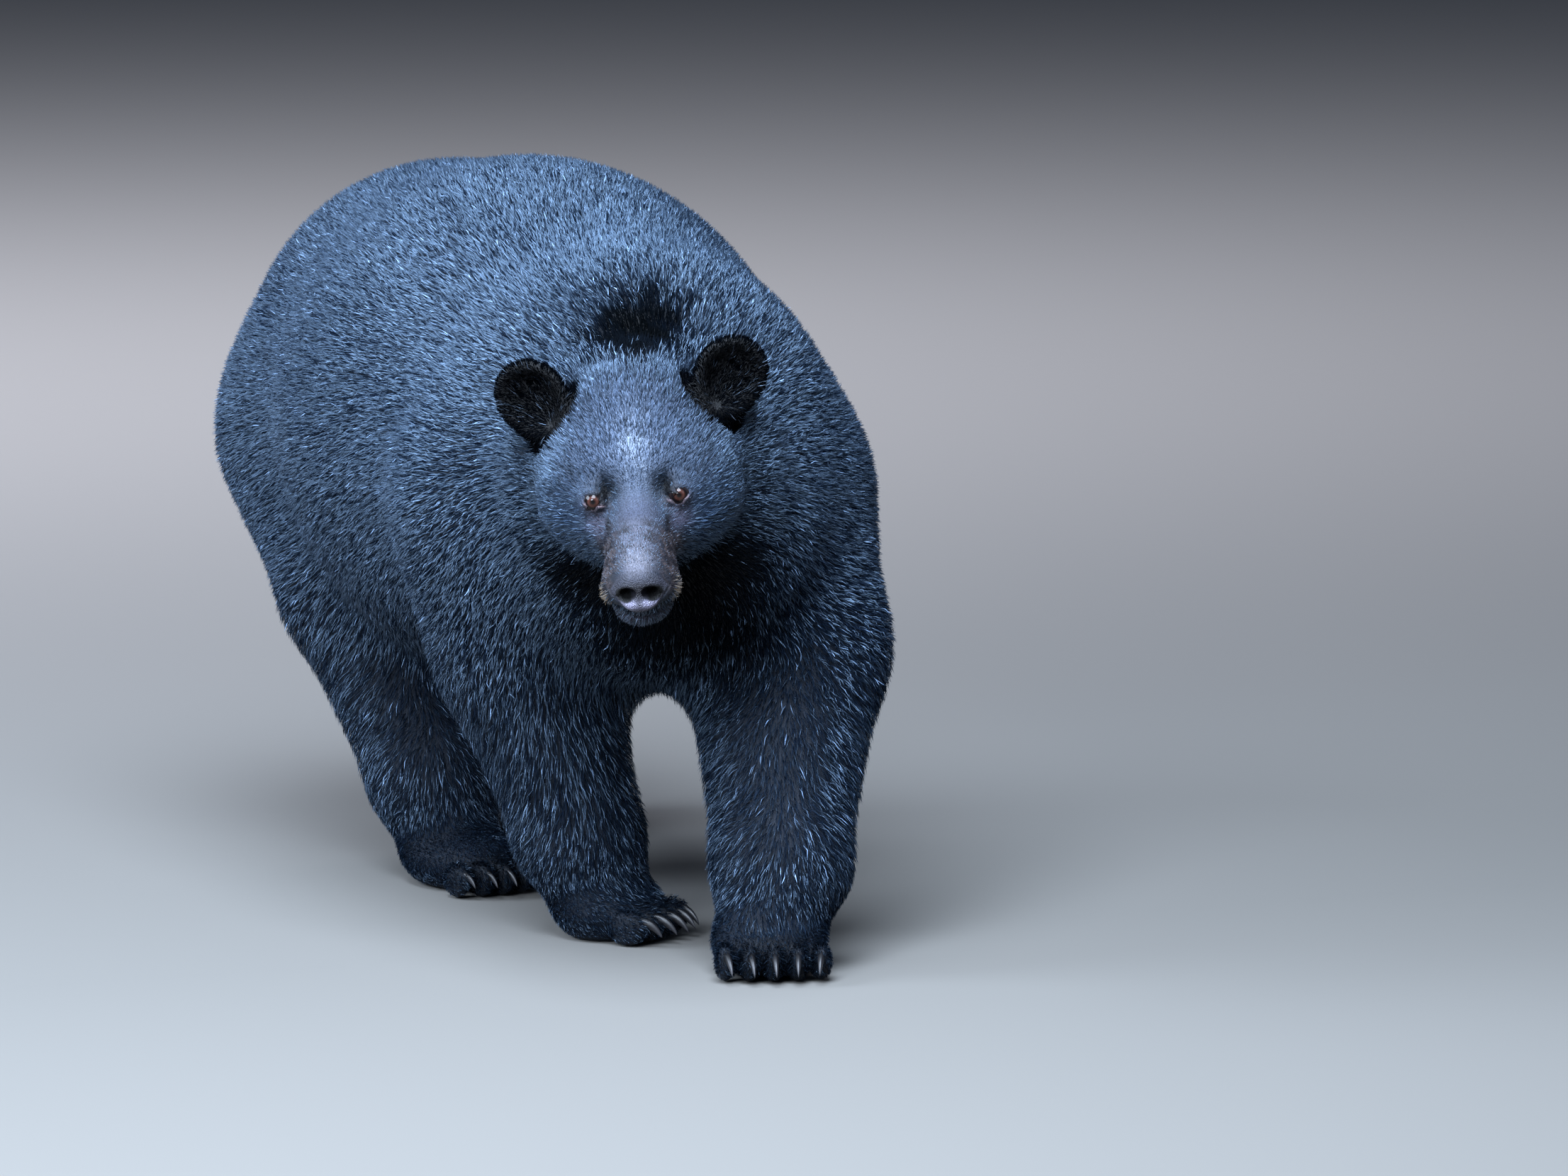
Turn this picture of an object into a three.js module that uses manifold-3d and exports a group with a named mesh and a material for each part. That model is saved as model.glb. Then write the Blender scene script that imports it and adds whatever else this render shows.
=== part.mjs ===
// American black bear, a heavy adult male in autumn condition, standing in a walking stride with its head
// low and turned a little to its right. Life size, millimetres, +Z up, the bear faces -Y and its left is +X.
//
// The whole animal is one smooth field: named masses of muscle, fat and coat, blended where they meet. The
// field's zero is the surface at the tips of the coat. Each node is the part of that surface inside its own
// region box, meshed as finely as it needs, and neighbouring nodes are parted by a thin cut.

import * as THREE from "three";
import { mergeVertices } from "three/addons/utils/BufferGeometryUtils.js";
import Module from "manifold-3d";

const wasm = await Module();
wasm.setup();

// ---- Driving dimensions ----------------------------------------------------------------------------------

const GAP = 0.5; // between two nodes that touch
const SLIVER = 0.05; // edges shorter than this are closed up

const BACK_HEIGHT = 895; // to the tips of the coat over the loin
const WITHERS_HEIGHT = 795;
const BARREL_HALF_WIDTH = 325;
const SHOULDER_HALF_WIDTH = 285;
const HIP_Y = 800; // the hip joints, behind the shoulder joints at about y = 0

const EYE_RADIUS = 11;
const EYE_SPREAD = 47; // from the middle of the face
const EYE_Y = -15; // in the head's own frame
const CLAW_LENGTH = 36; // of the forefeet; those of the hind feet are shorter

const EAR = { width: 90, height: 96, spread: 111, back: 84, up: 96, cocked: 8 }; // the left one is cocked higher

// The head's own frame starts midway between the eyes, nose towards -Y.
const HEAD = { at: [-117, -338, 560], yaw: -20, pitch: 10, roll: -5 };

// Each leg: its joints from the body down, the radius of coat round each, and where the middle of the sole is.
// toeIn turns the paw about +Z, positive towards the bear's left.
const LEGS = {
  foreleg_left: {
    joints: [[SHOULDER_HALF_WIDTH - 138, 20, 510], [150, -62, 345], [94, -212, 120]],
    radii: [138, 120, 80],
    sole: [66, -252],
    toeIn: -14,
    hind: false,
  },
  foreleg_right: {
    joints: [[138 - SHOULDER_HALF_WIDTH, 40, 510], [-114, 84, 340], [-60, 62, 120]],
    radii: [138, 110, 76],
    sole: [-30, 40],
    toeIn: 46,
    hind: false,
  },
  hindleg_left: {
    joints: [[138, HIP_Y + 25, 520], [176, 760, 345], [140, 905, 130]],
    radii: [160, 110, 80],
    sole: [128, 850],
    toeIn: -8,
    hind: true,
  },
  hindleg_right: {
    joints: [[-136, HIP_Y, 520], [-156, 640, 345], [-104, 510, 130]],
    radii: [160, 102, 82],
    sole: [-86, 440],
    toeIn: 14,
    hind: true,
  },
};

// ---- Fields: functions of a point, negative inside --------------------------------------------------------

const vec = (v) => new THREE.Vector3(...v);
const degrees = THREE.MathUtils.degToRad;

function turned(centre, turn) {
  return new THREE.Matrix4().makeRotationFromEuler(new THREE.Euler(...turn.map(degrees))).setPosition(...centre);
}

function ellipsoid(centre, radii, turn = [0, 0, 0]) {
  const back = turned(centre, turn).invert();
  const r = vec(radii);
  const q = new THREE.Vector3();
  return (p) => {
    q.copy(p).applyMatrix4(back).divide(r);
    const near = q.length();
    const slope = q.divide(r).length();
    return slope < 1e-9 ? -Math.min(...radii) : (near * (near - 1)) / slope;
  };
}

// A rod with round ends of two radii.
function limb(from, to, fromRadius, toRadius) {
  const a = vec(from);
  const axis = vec(to).sub(a);
  const length = axis.length();
  axis.divideScalar(length);
  const sine = (fromRadius - toRadius) / length;
  const cosine = Math.sqrt(1 - sine * sine);
  const q = new THREE.Vector3();
  return (p) => {
    q.copy(p).sub(a);
    const along = q.dot(axis);
    const out = Math.sqrt(Math.max(q.lengthSq() - along * along, 0));
    const k = along * cosine - out * sine;
    if (k < 0) return Math.hypot(along, out) - fromRadius;
    if (k > length * cosine) return Math.hypot(along - length, out) - toRadius;
    return out * cosine + along * sine - fromRadius;
  };
}

// Joins fields in turn, each [field, blend]: blend is how far the fillet reaches.
function blended(...parts) {
  return (p) => {
    let d = Infinity;
    for (const [field, blend] of parts) {
      const e = field(p);
      const h = Math.max(blend - Math.abs(d - e), 0) / blend;
      d = Math.min(d, e) - (h * h * blend) / 4;
    }
    return d;
  };
}

// Takes fields away in turn, with a rounded rim.
function carved(solid, ...parts) {
  return (p) => {
    let d = solid(p);
    for (const [field, blend] of parts) {
      const e = -field(p);
      const h = Math.max(blend - Math.abs(d - e), 0) / blend;
      d = Math.max(d, e) + (h * h * blend) / 4;
    }
    return d;
  };
}

// A field given in a turned frame, read in the frame outside it.
function within(matrix, field) {
  const back = matrix.clone().invert();
  const q = new THREE.Vector3();
  return (p) => field(q.copy(p).applyMatrix4(back));
}

const both = (make) => [make(1), make(-1)];

// ---- The head, in its own frame ---------------------------------------------------------------------------

const headMatrix = new THREE.Matrix4().compose(
  vec(HEAD.at),
  new THREE.Quaternion().setFromEuler(
    new THREE.Euler(degrees(HEAD.pitch), degrees(HEAD.roll), degrees(HEAD.yaw), "ZXY"),
  ),
  vec([1, 1, 1]),
);

const faceMasses = [
  [ellipsoid([0, 104, 44], [100, 98, 94]), 1], // braincase and crown
  ...both((s) => [ellipsoid([s * 58, 72, -6], [66, 82, 74]), 30]), // cheeks
  [ellipsoid([0, 36, 24], [60, 56, 46]), 36], // forehead
  [ellipsoid([0, 72, -60], [76, 90, 52]), 36], // throat
  ...both((s) => [ellipsoid([s * 40, 2, 16], [22, 18, 12]), 14]), // brows
  ...both((s) => [ellipsoid([s * 42, 8, -30], [32, 28, 28]), 20]), // upper jaw under the eyes
  [limb([0, 16, -36], [0, -92, -63], 50, 33), 28], // bridge of the muzzle
  ...both((s) => [ellipsoid([s * EYE_SPREAD, EYE_Y + 8, 0], [20, 13, 15]), 14]), // lids
  ...both((s) => [ellipsoid([s * 19, -88, -74], [25, 46, 24], [12, 0, 0]), 16]), // upper lips
  [ellipsoid([0, -126, -67], [29, 24, 22]), 12], // nose
  [ellipsoid([0, -76, -102], [35, 48, 20], [8, 0, 0]), 14], // chin and lower lip
];
const headField = blended(...faceMasses);

// An ear, in a frame of its own: a round cup of gristle that leans out and faces forward.
const earFrame = (s) =>
  turned([s * EAR.spread, EAR.back, EAR.up + (s > 0 ? EAR.cocked : 0)], [-8, s * 32, s * 14]);
const earField = carved(
  blended(
    [ellipsoid([0, 0, 0], [EAR.width / 2, 17, EAR.height / 2]), 1],
    [ellipsoid([0, 6, -34], [34, 20, 34]), 20],
  ),
  [ellipsoid([0, -17, 1], [EAR.width / 2 - 11, 16, EAR.height / 2 - 12]), 8],
);

// ---- The body, in the bear's frame ------------------------------------------------------------------------

const trunkMasses = [
  [ellipsoid([0, 430, BACK_HEIGHT - 330], [BARREL_HALF_WIDTH - 22, 480, 322]), 1], // barrel and belly
  [ellipsoid([0, HIP_Y - 5, 590], [256, 258, 266]), 120], // rump
  [ellipsoid([0, 60, 540], [SHOULDER_HALF_WIDTH - 42, 285, WITHERS_HEIGHT - 542]), 110], // chest and withers
  [ellipsoid([0, -110, 478], [170, 165, 140]), 80], // brisket
];
const neckEnd = vec([0, 170, -10]).applyMatrix4(headMatrix).toArray();
const neckMasses = [
  [limb([-8, -20, 590], neckEnd, 190, 132), 100], // neck
  [within(headMatrix, ellipsoid([0, 138, -12], [154, 72, 148])), 40], // ruff behind the cheeks
];

function pawMatrix(leg) {
  return new THREE.Matrix4().makeRotationZ(degrees(leg.toeIn)).setPosition(...leg.sole, 0);
}

// The middle of each toe in the paw's own frame: the middle of the sole at the origin, toes towards -Y.
const TOES = [-2, -1, 0, 1, 2];
const toeCentre = (i, hind) => [i * 27, 6 - (hind ? 92 : 66) * (1 - 0.035 * i * i), 24];

function pawField(hind) {
  const toes = TOES.map((i) => [ellipsoid(toeCentre(i, hind), [16, 30, 25], [-10, 0, 0]), 12]);
  return blended([ellipsoid([0, hind ? 8 : 0, 34], [68, hind ? 92 : 66, 42]), 1], ...toes);
}

function legField(leg) {
  const [top, middle, ankle] = leg.joints;
  const [topRadius, middleRadius, ankleRadius] = leg.radii;
  const heel = vec([0, leg.hind ? 44 : 14, 62]).applyMatrix4(pawMatrix(leg)).toArray();
  return blended(
    [limb(top, middle, topRadius, middleRadius), 1],
    [limb(middle, ankle, middleRadius, ankleRadius), 40],
    [limb(ankle, heel, ankleRadius, 58), 30],
    [within(pawMatrix(leg), pawField(leg.hind)), 30],
  );
}

const legFields = Object.values(LEGS).map((leg) => [legField(leg), 64]);
const tailField = limb([0, 1040, 660], [0, 1082, 575], 48, 30);
const bodyField = blended(
  ...trunkMasses,
  ...neckMasses,
  ...legFields,
  [tailField, 30],
  [within(headMatrix, headField), 14],
);

// ---- Meshing and cutting ----------------------------------------------------------------------------------

const SLOPE_STEP = 0.5;

function gradient(field, p) {
  const q = p.clone();
  const g = new THREE.Vector3();
  for (const axis of ["x", "y", "z"]) {
    q[axis] = p[axis] + SLOPE_STEP;
    const ahead = field(q);
    q[axis] = p[axis] - SLOPE_STEP;
    g[axis] = (ahead - field(q)) / (2 * SLOPE_STEP);
    q[axis] = p[axis];
  }
  return g;
}

// Moves a point onto the field's surface, no further than reach.
function drawn(field, point, reach) {
  const p = point.clone();
  for (let turn = 0; turn < 4; turn++) {
    const g = gradient(field, p);
    p.addScaledVector(g, -field(p) / Math.max(g.lengthSq(), 0.25));
  }
  return p.sub(point).clampLength(0, reach).add(point);
}

// The corners of a grid cell, and the pairs of them that its edges join.
const CORNERS = [0, 1, 2, 3, 4, 5, 6, 7].map((n) => [n & 1, (n >> 1) & 1, n >> 2]);
const EDGES = CORNERS.flatMap((_, m) =>
  [1, 2, 4].filter((bit) => !(m & bit)).map((bit) => [m, m | bit]),
);
const AXES = [[1, 0, 0], [0, 1, 0], [0, 0, 1]];
const RING = [[0, 0], [1, 0], [1, 1], [0, 1]];

// Surface nets in a box of half sizes half about the frame's origin: one vertex in each grid cell that the
// surface crosses, drawn onto the surface, and a quad round each grid edge that it crosses. The field is
// closed off just inside the box.
function solidOf(field, frame, half, step) {
  const back = frame.clone().invert();
  const local = new THREE.Vector3();
  const closed = (p) => {
    local.copy(p).applyMatrix4(back);
    return Math.max(field(p), ...half.map((h, i) => Math.abs(local.getComponent(i)) - h + step * 0.6));
  };
  const count = half.map((h) => Math.ceil((2 * h) / step) + 1);
  const at = (i, j, k) => (k * count[1] + j) * count[0] + i;
  const place = (...cell) => vec(cell.map((n, i) => half[i] * ((2 * n) / (count[i] - 1) - 1))).applyMatrix4(frame);
  const everyCell = function* (from, short) {
    for (let k = from; k < count[2] - short; k++)
      for (let j = from; j < count[1] - short; j++)
        for (let i = from; i < count[0] - short; i++) yield [i, j, k];
  };

  const value = new Float64Array(count[0] * count[1] * count[2]);
  for (const cell of everyCell(0, 0)) value[at(...cell)] = closed(place(...cell));

  const vertexOf = new Int32Array(value.length);
  const vertices = [];
  for (const [i, j, k] of everyCell(0, 1)) {
    const v = CORNERS.map(([a, b, c]) => value[at(i + a, j + b, k + c)]);
    const crossed = EDGES.filter(([m, n]) => v[m] < 0 !== v[n] < 0);
    if (!crossed.length) continue;
    const sum = new THREE.Vector3();
    for (const [m, n] of crossed) {
      const [from, to] = [m, n].map((c) => place(i + CORNERS[c][0], j + CORNERS[c][1], k + CORNERS[c][2]));
      sum.add(from.lerp(to, v[m] / (v[m] - v[n])));
    }
    vertexOf[at(i, j, k)] = vertices.length / 3;
    vertices.push(...drawn(closed, sum.divideScalar(crossed.length), step * 0.45));
  }

  const triangles = [];
  for (const [i, j, k] of everyCell(0, 1))
    AXES.forEach((along, axis) => {
      const inside = value[at(i, j, k)] < 0;
      if (inside === value[at(i + along[0], j + along[1], k + along[2])] < 0) return;
      const [u, w] = [AXES[(axis + 1) % 3], AXES[(axis + 2) % 3]];
      const quad = RING.map(([a, b]) => {
        const cell = [i, j, k].map((n, c) => n - a * u[c] - b * w[c]);
        return vertexOf[at(...cell)];
      });
      if (!inside) quad.reverse();
      triangles.push(quad[0], quad[1], quad[2], quad[0], quad[2], quad[3]);
    });
  return solidFrom(vertices, triangles);
}

function solidFrom(vertices, triangles) {
  const mesh = new wasm.Mesh({
    numProp: 3,
    vertProperties: new Float32Array(vertices),
    triVerts: new Uint32Array(triangles),
  });
  return new wasm.Manifold(mesh);
}

// A closed three.js geometry as a solid for cutting.
function cutter(geometry) {
  const bare = geometry.clone();
  bare.deleteAttribute("normal");
  bare.deleteAttribute("uv");
  const merged = mergeVertices(bare, 1e-4);
  return solidFrom(merged.attributes.position.array, merged.index.array);
}

// A solid less another and a margin of GAP round it.
function clearOf(solid, other) {
  const shifts = AXES.flatMap((axis) => [1, -1].map((s) => axis.map((v) => v * s * GAP)));
  return [[0, 0, 0], ...shifts].reduce((left, shift) => left.subtract(other.translate(shift)), solid);
}

// The largest of a solid's separate bodies, without the crumbs that a cut may leave.
function largest(solid) {
  return solid.decompose().sort((a, b) => b.volume() - a.volume())[0];
}

// ---- Finishes ---------------------------------------------------------------------------------------------

const finish = (color, roughness) => new THREE.MeshStandardMaterial({ color, roughness, metalness: 0 });
const COAT = finish("#12161f", 0.7);
const MUZZLE_HAIR = finish("#39302e", 0.75);
const EAR_HAIR = finish("#0b0c10", 0.8);
const NOSE_LEATHER = finish("#1b1b20", 0.35);
const CLAW_HORN = finish("#77757a", 0.45);
const IRIS = finish("#3a2018", 0.15);

// ---- Nodes ------------------------------------------------------------------------------------------------

const bear = new THREE.Group();
const headGroup = new THREE.Group();
headGroup.applyMatrix4(headMatrix);
bear.add(headGroup);
bear.updateMatrixWorld();

// A solid's surface as a geometry, with the slivers that cutting leaves closed up.
function geometryOf(solid) {
  const made = solid.getMesh();
  const cut = new THREE.BufferGeometry();
  cut.setAttribute("position", new THREE.BufferAttribute(made.vertProperties, 3));
  cut.setIndex(new THREE.BufferAttribute(made.triVerts, 1));
  const merged = mergeVertices(cut, SLIVER);
  const faces = [];
  const index = merged.index.array;
  for (let i = 0; i < index.length; i += 3) {
    const [a, b, c] = index.slice(i, i + 3);
    if (a !== b && b !== c && c !== a) faces.push(a, b, c);
  }
  merged.setIndex(faces);
  return merged;
}

// Adds a solid, given in the bear's frame, as a mesh in a group.
function add(name, solid, material, group = bear) {
  const geometry = geometryOf(largest(solid));
  geometry.applyMatrix4(group.matrixWorld.clone().invert());
  geometry.computeVertexNormals();
  const mesh = new THREE.Mesh(geometry, material.clone());
  mesh.name = name;
  group.add(mesh);
}

// The flesh is parted by boxes: each [name, centre, size, turn, grid step], in the order of cutting, so that a
// box takes what the ones before it have left. A turn is in degrees about X, then Y, then Z.
const faceRegions = [
  ["nose", [0, -142, -67], [64, 42, 48], [-12, 0, 0], 12, NOSE_LEATHER],
  ["lower_jaw", [0, -100, -123], [110, 130, 60], [12, 0, 0], 17, MUZZLE_HAIR],
  ["muzzle", [0, -100, -40], [124, 130, 130], [0, 0, 0], 18, MUZZLE_HAIR],
  ["head", [0, 32, 0], [330, 184, 330], [6, 0, 0], 30, COAT],
];

// A region round a leg at one height, turned so that its inner face looks at the leg opposite, and no wider
// than half the way to it.
function legRegion(name, own, other, height, size, step) {
  const apart = own.clone().sub(other).setZ(0);
  const angle = THREE.MathUtils.radToDeg(Math.atan2(apart.y, apart.x));
  const width = Math.min(size[0], apart.length() - size[3]);
  return [name, [own.x, own.y, height], [width, size[1], size[2]], [0, 0, angle], step, COAT];
}

const opposite = { left: "right", right: "left" };
const shank = (leg) => vec(leg.joints[2]).lerp(vec(leg.joints[1]), 0.35);
const thigh = (leg) => vec(leg.joints[1]).lerp(vec(leg.joints[0]), 0.3);

function legRegions([name, leg]) {
  const [which, side] = name.split("_");
  const other = LEGS[`${which}_${opposite[side]}`];
  const sole = vec([...leg.sole, 0]);
  const otherSole = vec([...other.sole, 0]);
  return [
    legRegion(`${name}_paw`, sole, otherSole, 40, [250, 280, 80, 4], 25),
    legRegion(`${name}_lower`, shank(leg), shank(other), 162, [290, 300, 164, 4], 58),
    legRegion(`${name}_upper`, thigh(leg), thigh(other), 364, [380, 430, 240, 40], 69),
  ];
}

const bodyRegions = [
  ...Object.entries(LEGS).flatMap(legRegions),
  ["tail", [0, 1084, 606], [130, 110, 180], [24, 0, 0], 30, COAT],
  ["neck", [-40, -150, 660], [600, 200, 460], [-12, 0, -8], 54, COAT],
  ["chest", [0, -140, 450], [900, 680, 1000], [0, 0, 0], 76, COAT],
  ["belly", [0, 400, 450], [900, 400, 1000], [0, 0, 0], 80, COAT],
  ["rump", [0, 900, 450], [900, 600, 1000], [0, 0, 0], 76, COAT],
];

const solids = {};
const claimed = [];
function part(outer, group, [name, centre, size, turn, step, material]) {
  const frame = outer.clone().multiply(turned(centre, turn));
  const box = (grown) => cutter(new THREE.BoxGeometry(...size.map((s) => s + grown)).applyMatrix4(frame));
  const raw = solidOf(bodyField, frame, size.map((s) => s / 2 + 2 * step), step);
  const mine = claimed.reduce((left, other) => left.subtract(other), raw.intersect(box(0)));
  solids[name] = { solid: mine, material, group };
  claimed.push(box(2 * GAP));
}

faceRegions.forEach((region) => part(headMatrix, headGroup, region));
bodyRegions.forEach((region) => part(new THREE.Matrix4(), bear, region));

// Eyes, each a ball in its socket.
for (const [side, s] of [["left", 1], ["right", -1]]) {
  const place = [s * EYE_SPREAD, EYE_Y, 0];
  const ball = (radius) =>
    cutter(new THREE.SphereGeometry(radius, 10, 7).translate(...place).applyMatrix4(headMatrix));
  solids.head.solid = solids.head.solid.subtract(ball(EYE_RADIUS + GAP));
  add(`eye_${side}`, ball(EYE_RADIUS), IRIS, headGroup);
}

for (const [side, s] of [["left", 1], ["right", -1]]) {
  const frame = headMatrix.clone().multiply(earFrame(s));
  const ear = solidOf(within(frame, earField), frame, [EAR.width / 2 + 24, 52, EAR.height / 2 + 40], 12);
  add(`ear_${side}`, clearOf(clearOf(ear, solids.head.solid), solids.neck.solid), EAR_HAIR, headGroup);
}

// A claw: a cone of horn, narrower than it is deep, bent down along an arc. It grows towards -Y.
function claw(length) {
  const bend = degrees(62);
  const profile = [[0, -0.25], [0.17, -0.25], [0.16, 0.4], [0, 1]];
  const points = profile.reverse().map(([r, along]) => new THREE.Vector2(r * length, along * length));
  const geometry = new THREE.LatheGeometry(points, 6);
  const place = geometry.attributes.position;
  for (let i = 0; i < place.count; i++) {
    const angle = Math.max(place.getY(i) / length, 0) * bend;
    const radius = length / bend + place.getZ(i);
    const back = Math.min(place.getY(i), 0);
    place.setXYZ(i, place.getX(i) * 0.7, -radius * Math.sin(angle) - back, radius * Math.cos(angle) - length / bend);
  }
  return geometry;
}

for (const [name, leg] of Object.entries(LEGS)) {
  const { solid } = solids[`${name}_paw`];
  for (const i of TOES) {
    const root = toeCentre(i, leg.hind);
    const geometry = claw(leg.hind ? CLAW_LENGTH * 0.8 : CLAW_LENGTH)
      .rotateZ(degrees(-5 * i))
      .translate(root[0], root[1] - 12, root[2] + 6)
      .applyMatrix4(pawMatrix(leg));
    add(`${name}_claw_${i + 3}`, clearOf(cutter(geometry), solid), CLAW_HORN);
  }
}

for (const [name, { solid, material, group }] of Object.entries(solids)) add(name, solid, material, group);

// The row's origin is on the floor under the middle of the whole bear.
const middle = new THREE.Box3().setFromObject(bear, true).getCenter(new THREE.Vector3());
bear.position.set(-middle.x, -middle.y, 0);

export default bear;
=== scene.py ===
# American black bear, adult, standing in a walking stride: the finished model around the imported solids.
# The file follows the making of a museum mount: the form, the skin over it, eyes, claws, and then the coat,
# laid on in tufts.

import math

import bmesh
import bpy
import numpy as np
from mathutils import Matrix, Vector


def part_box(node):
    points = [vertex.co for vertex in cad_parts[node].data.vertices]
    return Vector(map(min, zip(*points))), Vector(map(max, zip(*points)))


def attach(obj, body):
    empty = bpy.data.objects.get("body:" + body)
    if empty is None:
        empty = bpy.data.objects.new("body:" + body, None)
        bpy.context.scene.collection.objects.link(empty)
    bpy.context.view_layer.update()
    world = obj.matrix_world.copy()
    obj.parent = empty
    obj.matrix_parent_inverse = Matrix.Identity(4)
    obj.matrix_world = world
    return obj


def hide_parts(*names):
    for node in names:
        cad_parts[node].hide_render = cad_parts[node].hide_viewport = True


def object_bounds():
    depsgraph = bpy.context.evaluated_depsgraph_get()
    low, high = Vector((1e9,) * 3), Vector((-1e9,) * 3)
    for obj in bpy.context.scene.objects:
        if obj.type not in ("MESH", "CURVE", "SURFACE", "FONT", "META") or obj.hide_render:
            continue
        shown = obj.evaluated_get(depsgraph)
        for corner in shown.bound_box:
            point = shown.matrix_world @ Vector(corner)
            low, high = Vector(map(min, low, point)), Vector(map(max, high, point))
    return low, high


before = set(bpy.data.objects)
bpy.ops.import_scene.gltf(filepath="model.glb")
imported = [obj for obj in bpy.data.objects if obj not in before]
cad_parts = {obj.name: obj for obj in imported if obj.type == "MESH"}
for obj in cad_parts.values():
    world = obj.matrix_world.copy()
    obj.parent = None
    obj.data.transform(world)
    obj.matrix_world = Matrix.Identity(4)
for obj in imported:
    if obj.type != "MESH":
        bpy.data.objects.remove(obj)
cad_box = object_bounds()


# ---- The form ---------------------------------------------------------------------------------------------
# The body that the solids were cut from, as one smooth function of a point: negative inside, zero at the tips
# of the coat. It is worked in millimetres in the bear's own frame, nose towards -Y and left side towards +X.

HEAD = {"at": (-117, -338, 560), "yaw": -20, "pitch": 10, "roll": -5}
EYE = {"radius": 12, "spread": 47, "y": -15}
EAR = {"width": 90, "height": 96, "spread": 111, "back": 84, "up": 96, "cocked": 8}
LEGS = {
    "foreleg_left": dict(joints=[(147, 20, 510), (150, -62, 345), (94, -212, 120)],
                         radii=(138, 120, 80), sole=(66, -252), toe_in=-14, hind=False),
    "foreleg_right": dict(joints=[(-147, 40, 510), (-114, 84, 340), (-60, 62, 120)],
                          radii=(138, 110, 76), sole=(-30, 40), toe_in=46, hind=False),
    "hindleg_left": dict(joints=[(138, 825, 520), (176, 760, 345), (140, 905, 130)],
                         radii=(160, 110, 80), sole=(128, 850), toe_in=-8, hind=True),
    "hindleg_right": dict(joints=[(-136, 800, 520), (-156, 640, 345), (-104, 510, 130)],
                          radii=(160, 102, 82), sole=(-86, 440), toe_in=14, hind=True),
}


def turned(x=0, y=0, z=0):
    """A turn about X of a turn about Y of a turn about Z, in degrees."""
    parts = [Matrix.Rotation(math.radians(a), 3, axis) for a, axis in ((x, "X"), (y, "Y"), (z, "Z"))]
    return np.array(parts[0] @ parts[1] @ parts[2])


def length(v):
    return np.sqrt(np.einsum("ij,ij->i", v, v))


def ellipsoid(centre, radii, turn=(0, 0, 0)):
    centre, radii, turn = np.array(centre, float), np.array(radii, float), turned(*turn)

    def field(p):
        q = ((p - centre) @ turn) / radii
        near = length(q)
        return near * (near - 1) / np.maximum(length(q / radii), 1e-6)

    return field


def limb(start, end, start_radius, end_radius):
    """A rod with round ends of two radii."""
    start, end = np.array(start, float), np.array(end, float)
    size = np.linalg.norm(end - start)
    axis = (end - start) / size
    sine = (start_radius - end_radius) / size
    cosine = math.sqrt(1 - sine * sine)

    def field(p):
        q = p - start
        along = q @ axis
        out = np.sqrt(np.maximum(np.einsum("ij,ij->i", q, q) - along**2, 0))
        k = along * cosine - out * sine
        side = out * cosine + along * sine - start_radius
        top = np.hypot(along, out) - start_radius
        tip = np.hypot(along - size, out) - end_radius
        return np.where(k < 0, top, np.where(k > size * cosine, tip, side))

    return field


def joined(d, e, blend):
    """Two fields as one, with a fillet that reaches as far as blend."""
    h = np.maximum(blend - np.abs(d - e), 0) / blend
    return np.minimum(d, e) - h * h * blend / 4


def bounded(field, centre, radius, margin=70):
    """The same field close by, and only the distance to the sphere that holds it further off."""
    def held(p):
        d = length(p - centre) - radius
        near = d < margin
        d[near] = field(p[near])
        return d

    return held


def blended(*parts):
    def field(p):
        d = parts[0][0](p)
        for part, blend in parts[1:]:
            d = joined(d, part(p), blend)
        return d

    return field


def cut(d, e, blend):
    """Takes field e out of field d, with a rounded rim."""
    return -joined(-d, e, blend)


class Place:
    """A frame that stands somewhere in another: p @ into goes in."""

    def __init__(self, at, turn):
        self.at, self.turn = np.array(at, float), np.array(turn, float)

    def into(self, p):
        return (p - self.at) @ self.turn

    def out(self, p):
        return np.asarray(p, float) @ self.turn.T + self.at

    def within(self, field):
        return lambda p: field(self.into(p))


head_turn = turned(z=HEAD["yaw"]) @ turned(x=HEAD["pitch"]) @ turned(y=HEAD["roll"])
head_place = Place(HEAD["at"], head_turn)
SIDES = (1, -1)

face_masses = [
    (ellipsoid((0, 104, 44), (100, 98, 94)), 1),  # braincase and crown
    *[(ellipsoid((s * 58, 72, -6), (66, 82, 74)), 30) for s in SIDES],  # cheeks
    (ellipsoid((0, 36, 24), (60, 56, 46)), 36),  # forehead
    (ellipsoid((0, 72, -60), (76, 90, 52)), 36),  # throat
    *[(ellipsoid((s * 40, 2, 16), (22, 18, 12)), 14) for s in SIDES],  # brows
    *[(ellipsoid((s * 42, 8, -30), (32, 28, 28)), 20) for s in SIDES],  # upper jaw under the eyes
    (limb((0, 16, -36), (0, -92, -63), 50, 33), 28),  # bridge of the muzzle
    *[(ellipsoid((s * EYE["spread"], EYE["y"] + 8, 0), (20, 13, 15)), 14) for s in SIDES],  # lids
    *[(ellipsoid((s * 19, -88, -74), (25, 46, 24), (12, 0, 0)), 16) for s in SIDES],  # upper lips
    (ellipsoid((0, -126, -67), (29, 24, 22)), 12),  # nose
    (ellipsoid((0, -76, -102), (35, 48, 20), (8, 0, 0)), 14),  # chin and lower lip
]
face_solid = blended(*face_masses)


def spot(q, centre, radii, power=2):
    """1 at the centre of an ellipsoid, falling softly to 0 outside it."""
    return np.exp(-(length((q - np.array(centre)) / np.array(radii, float)) ** power))


def mirrored(q):
    """Head points folded onto the animal's left."""
    return np.column_stack([np.abs(q[:, 0]), q[:, 1:]])


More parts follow.
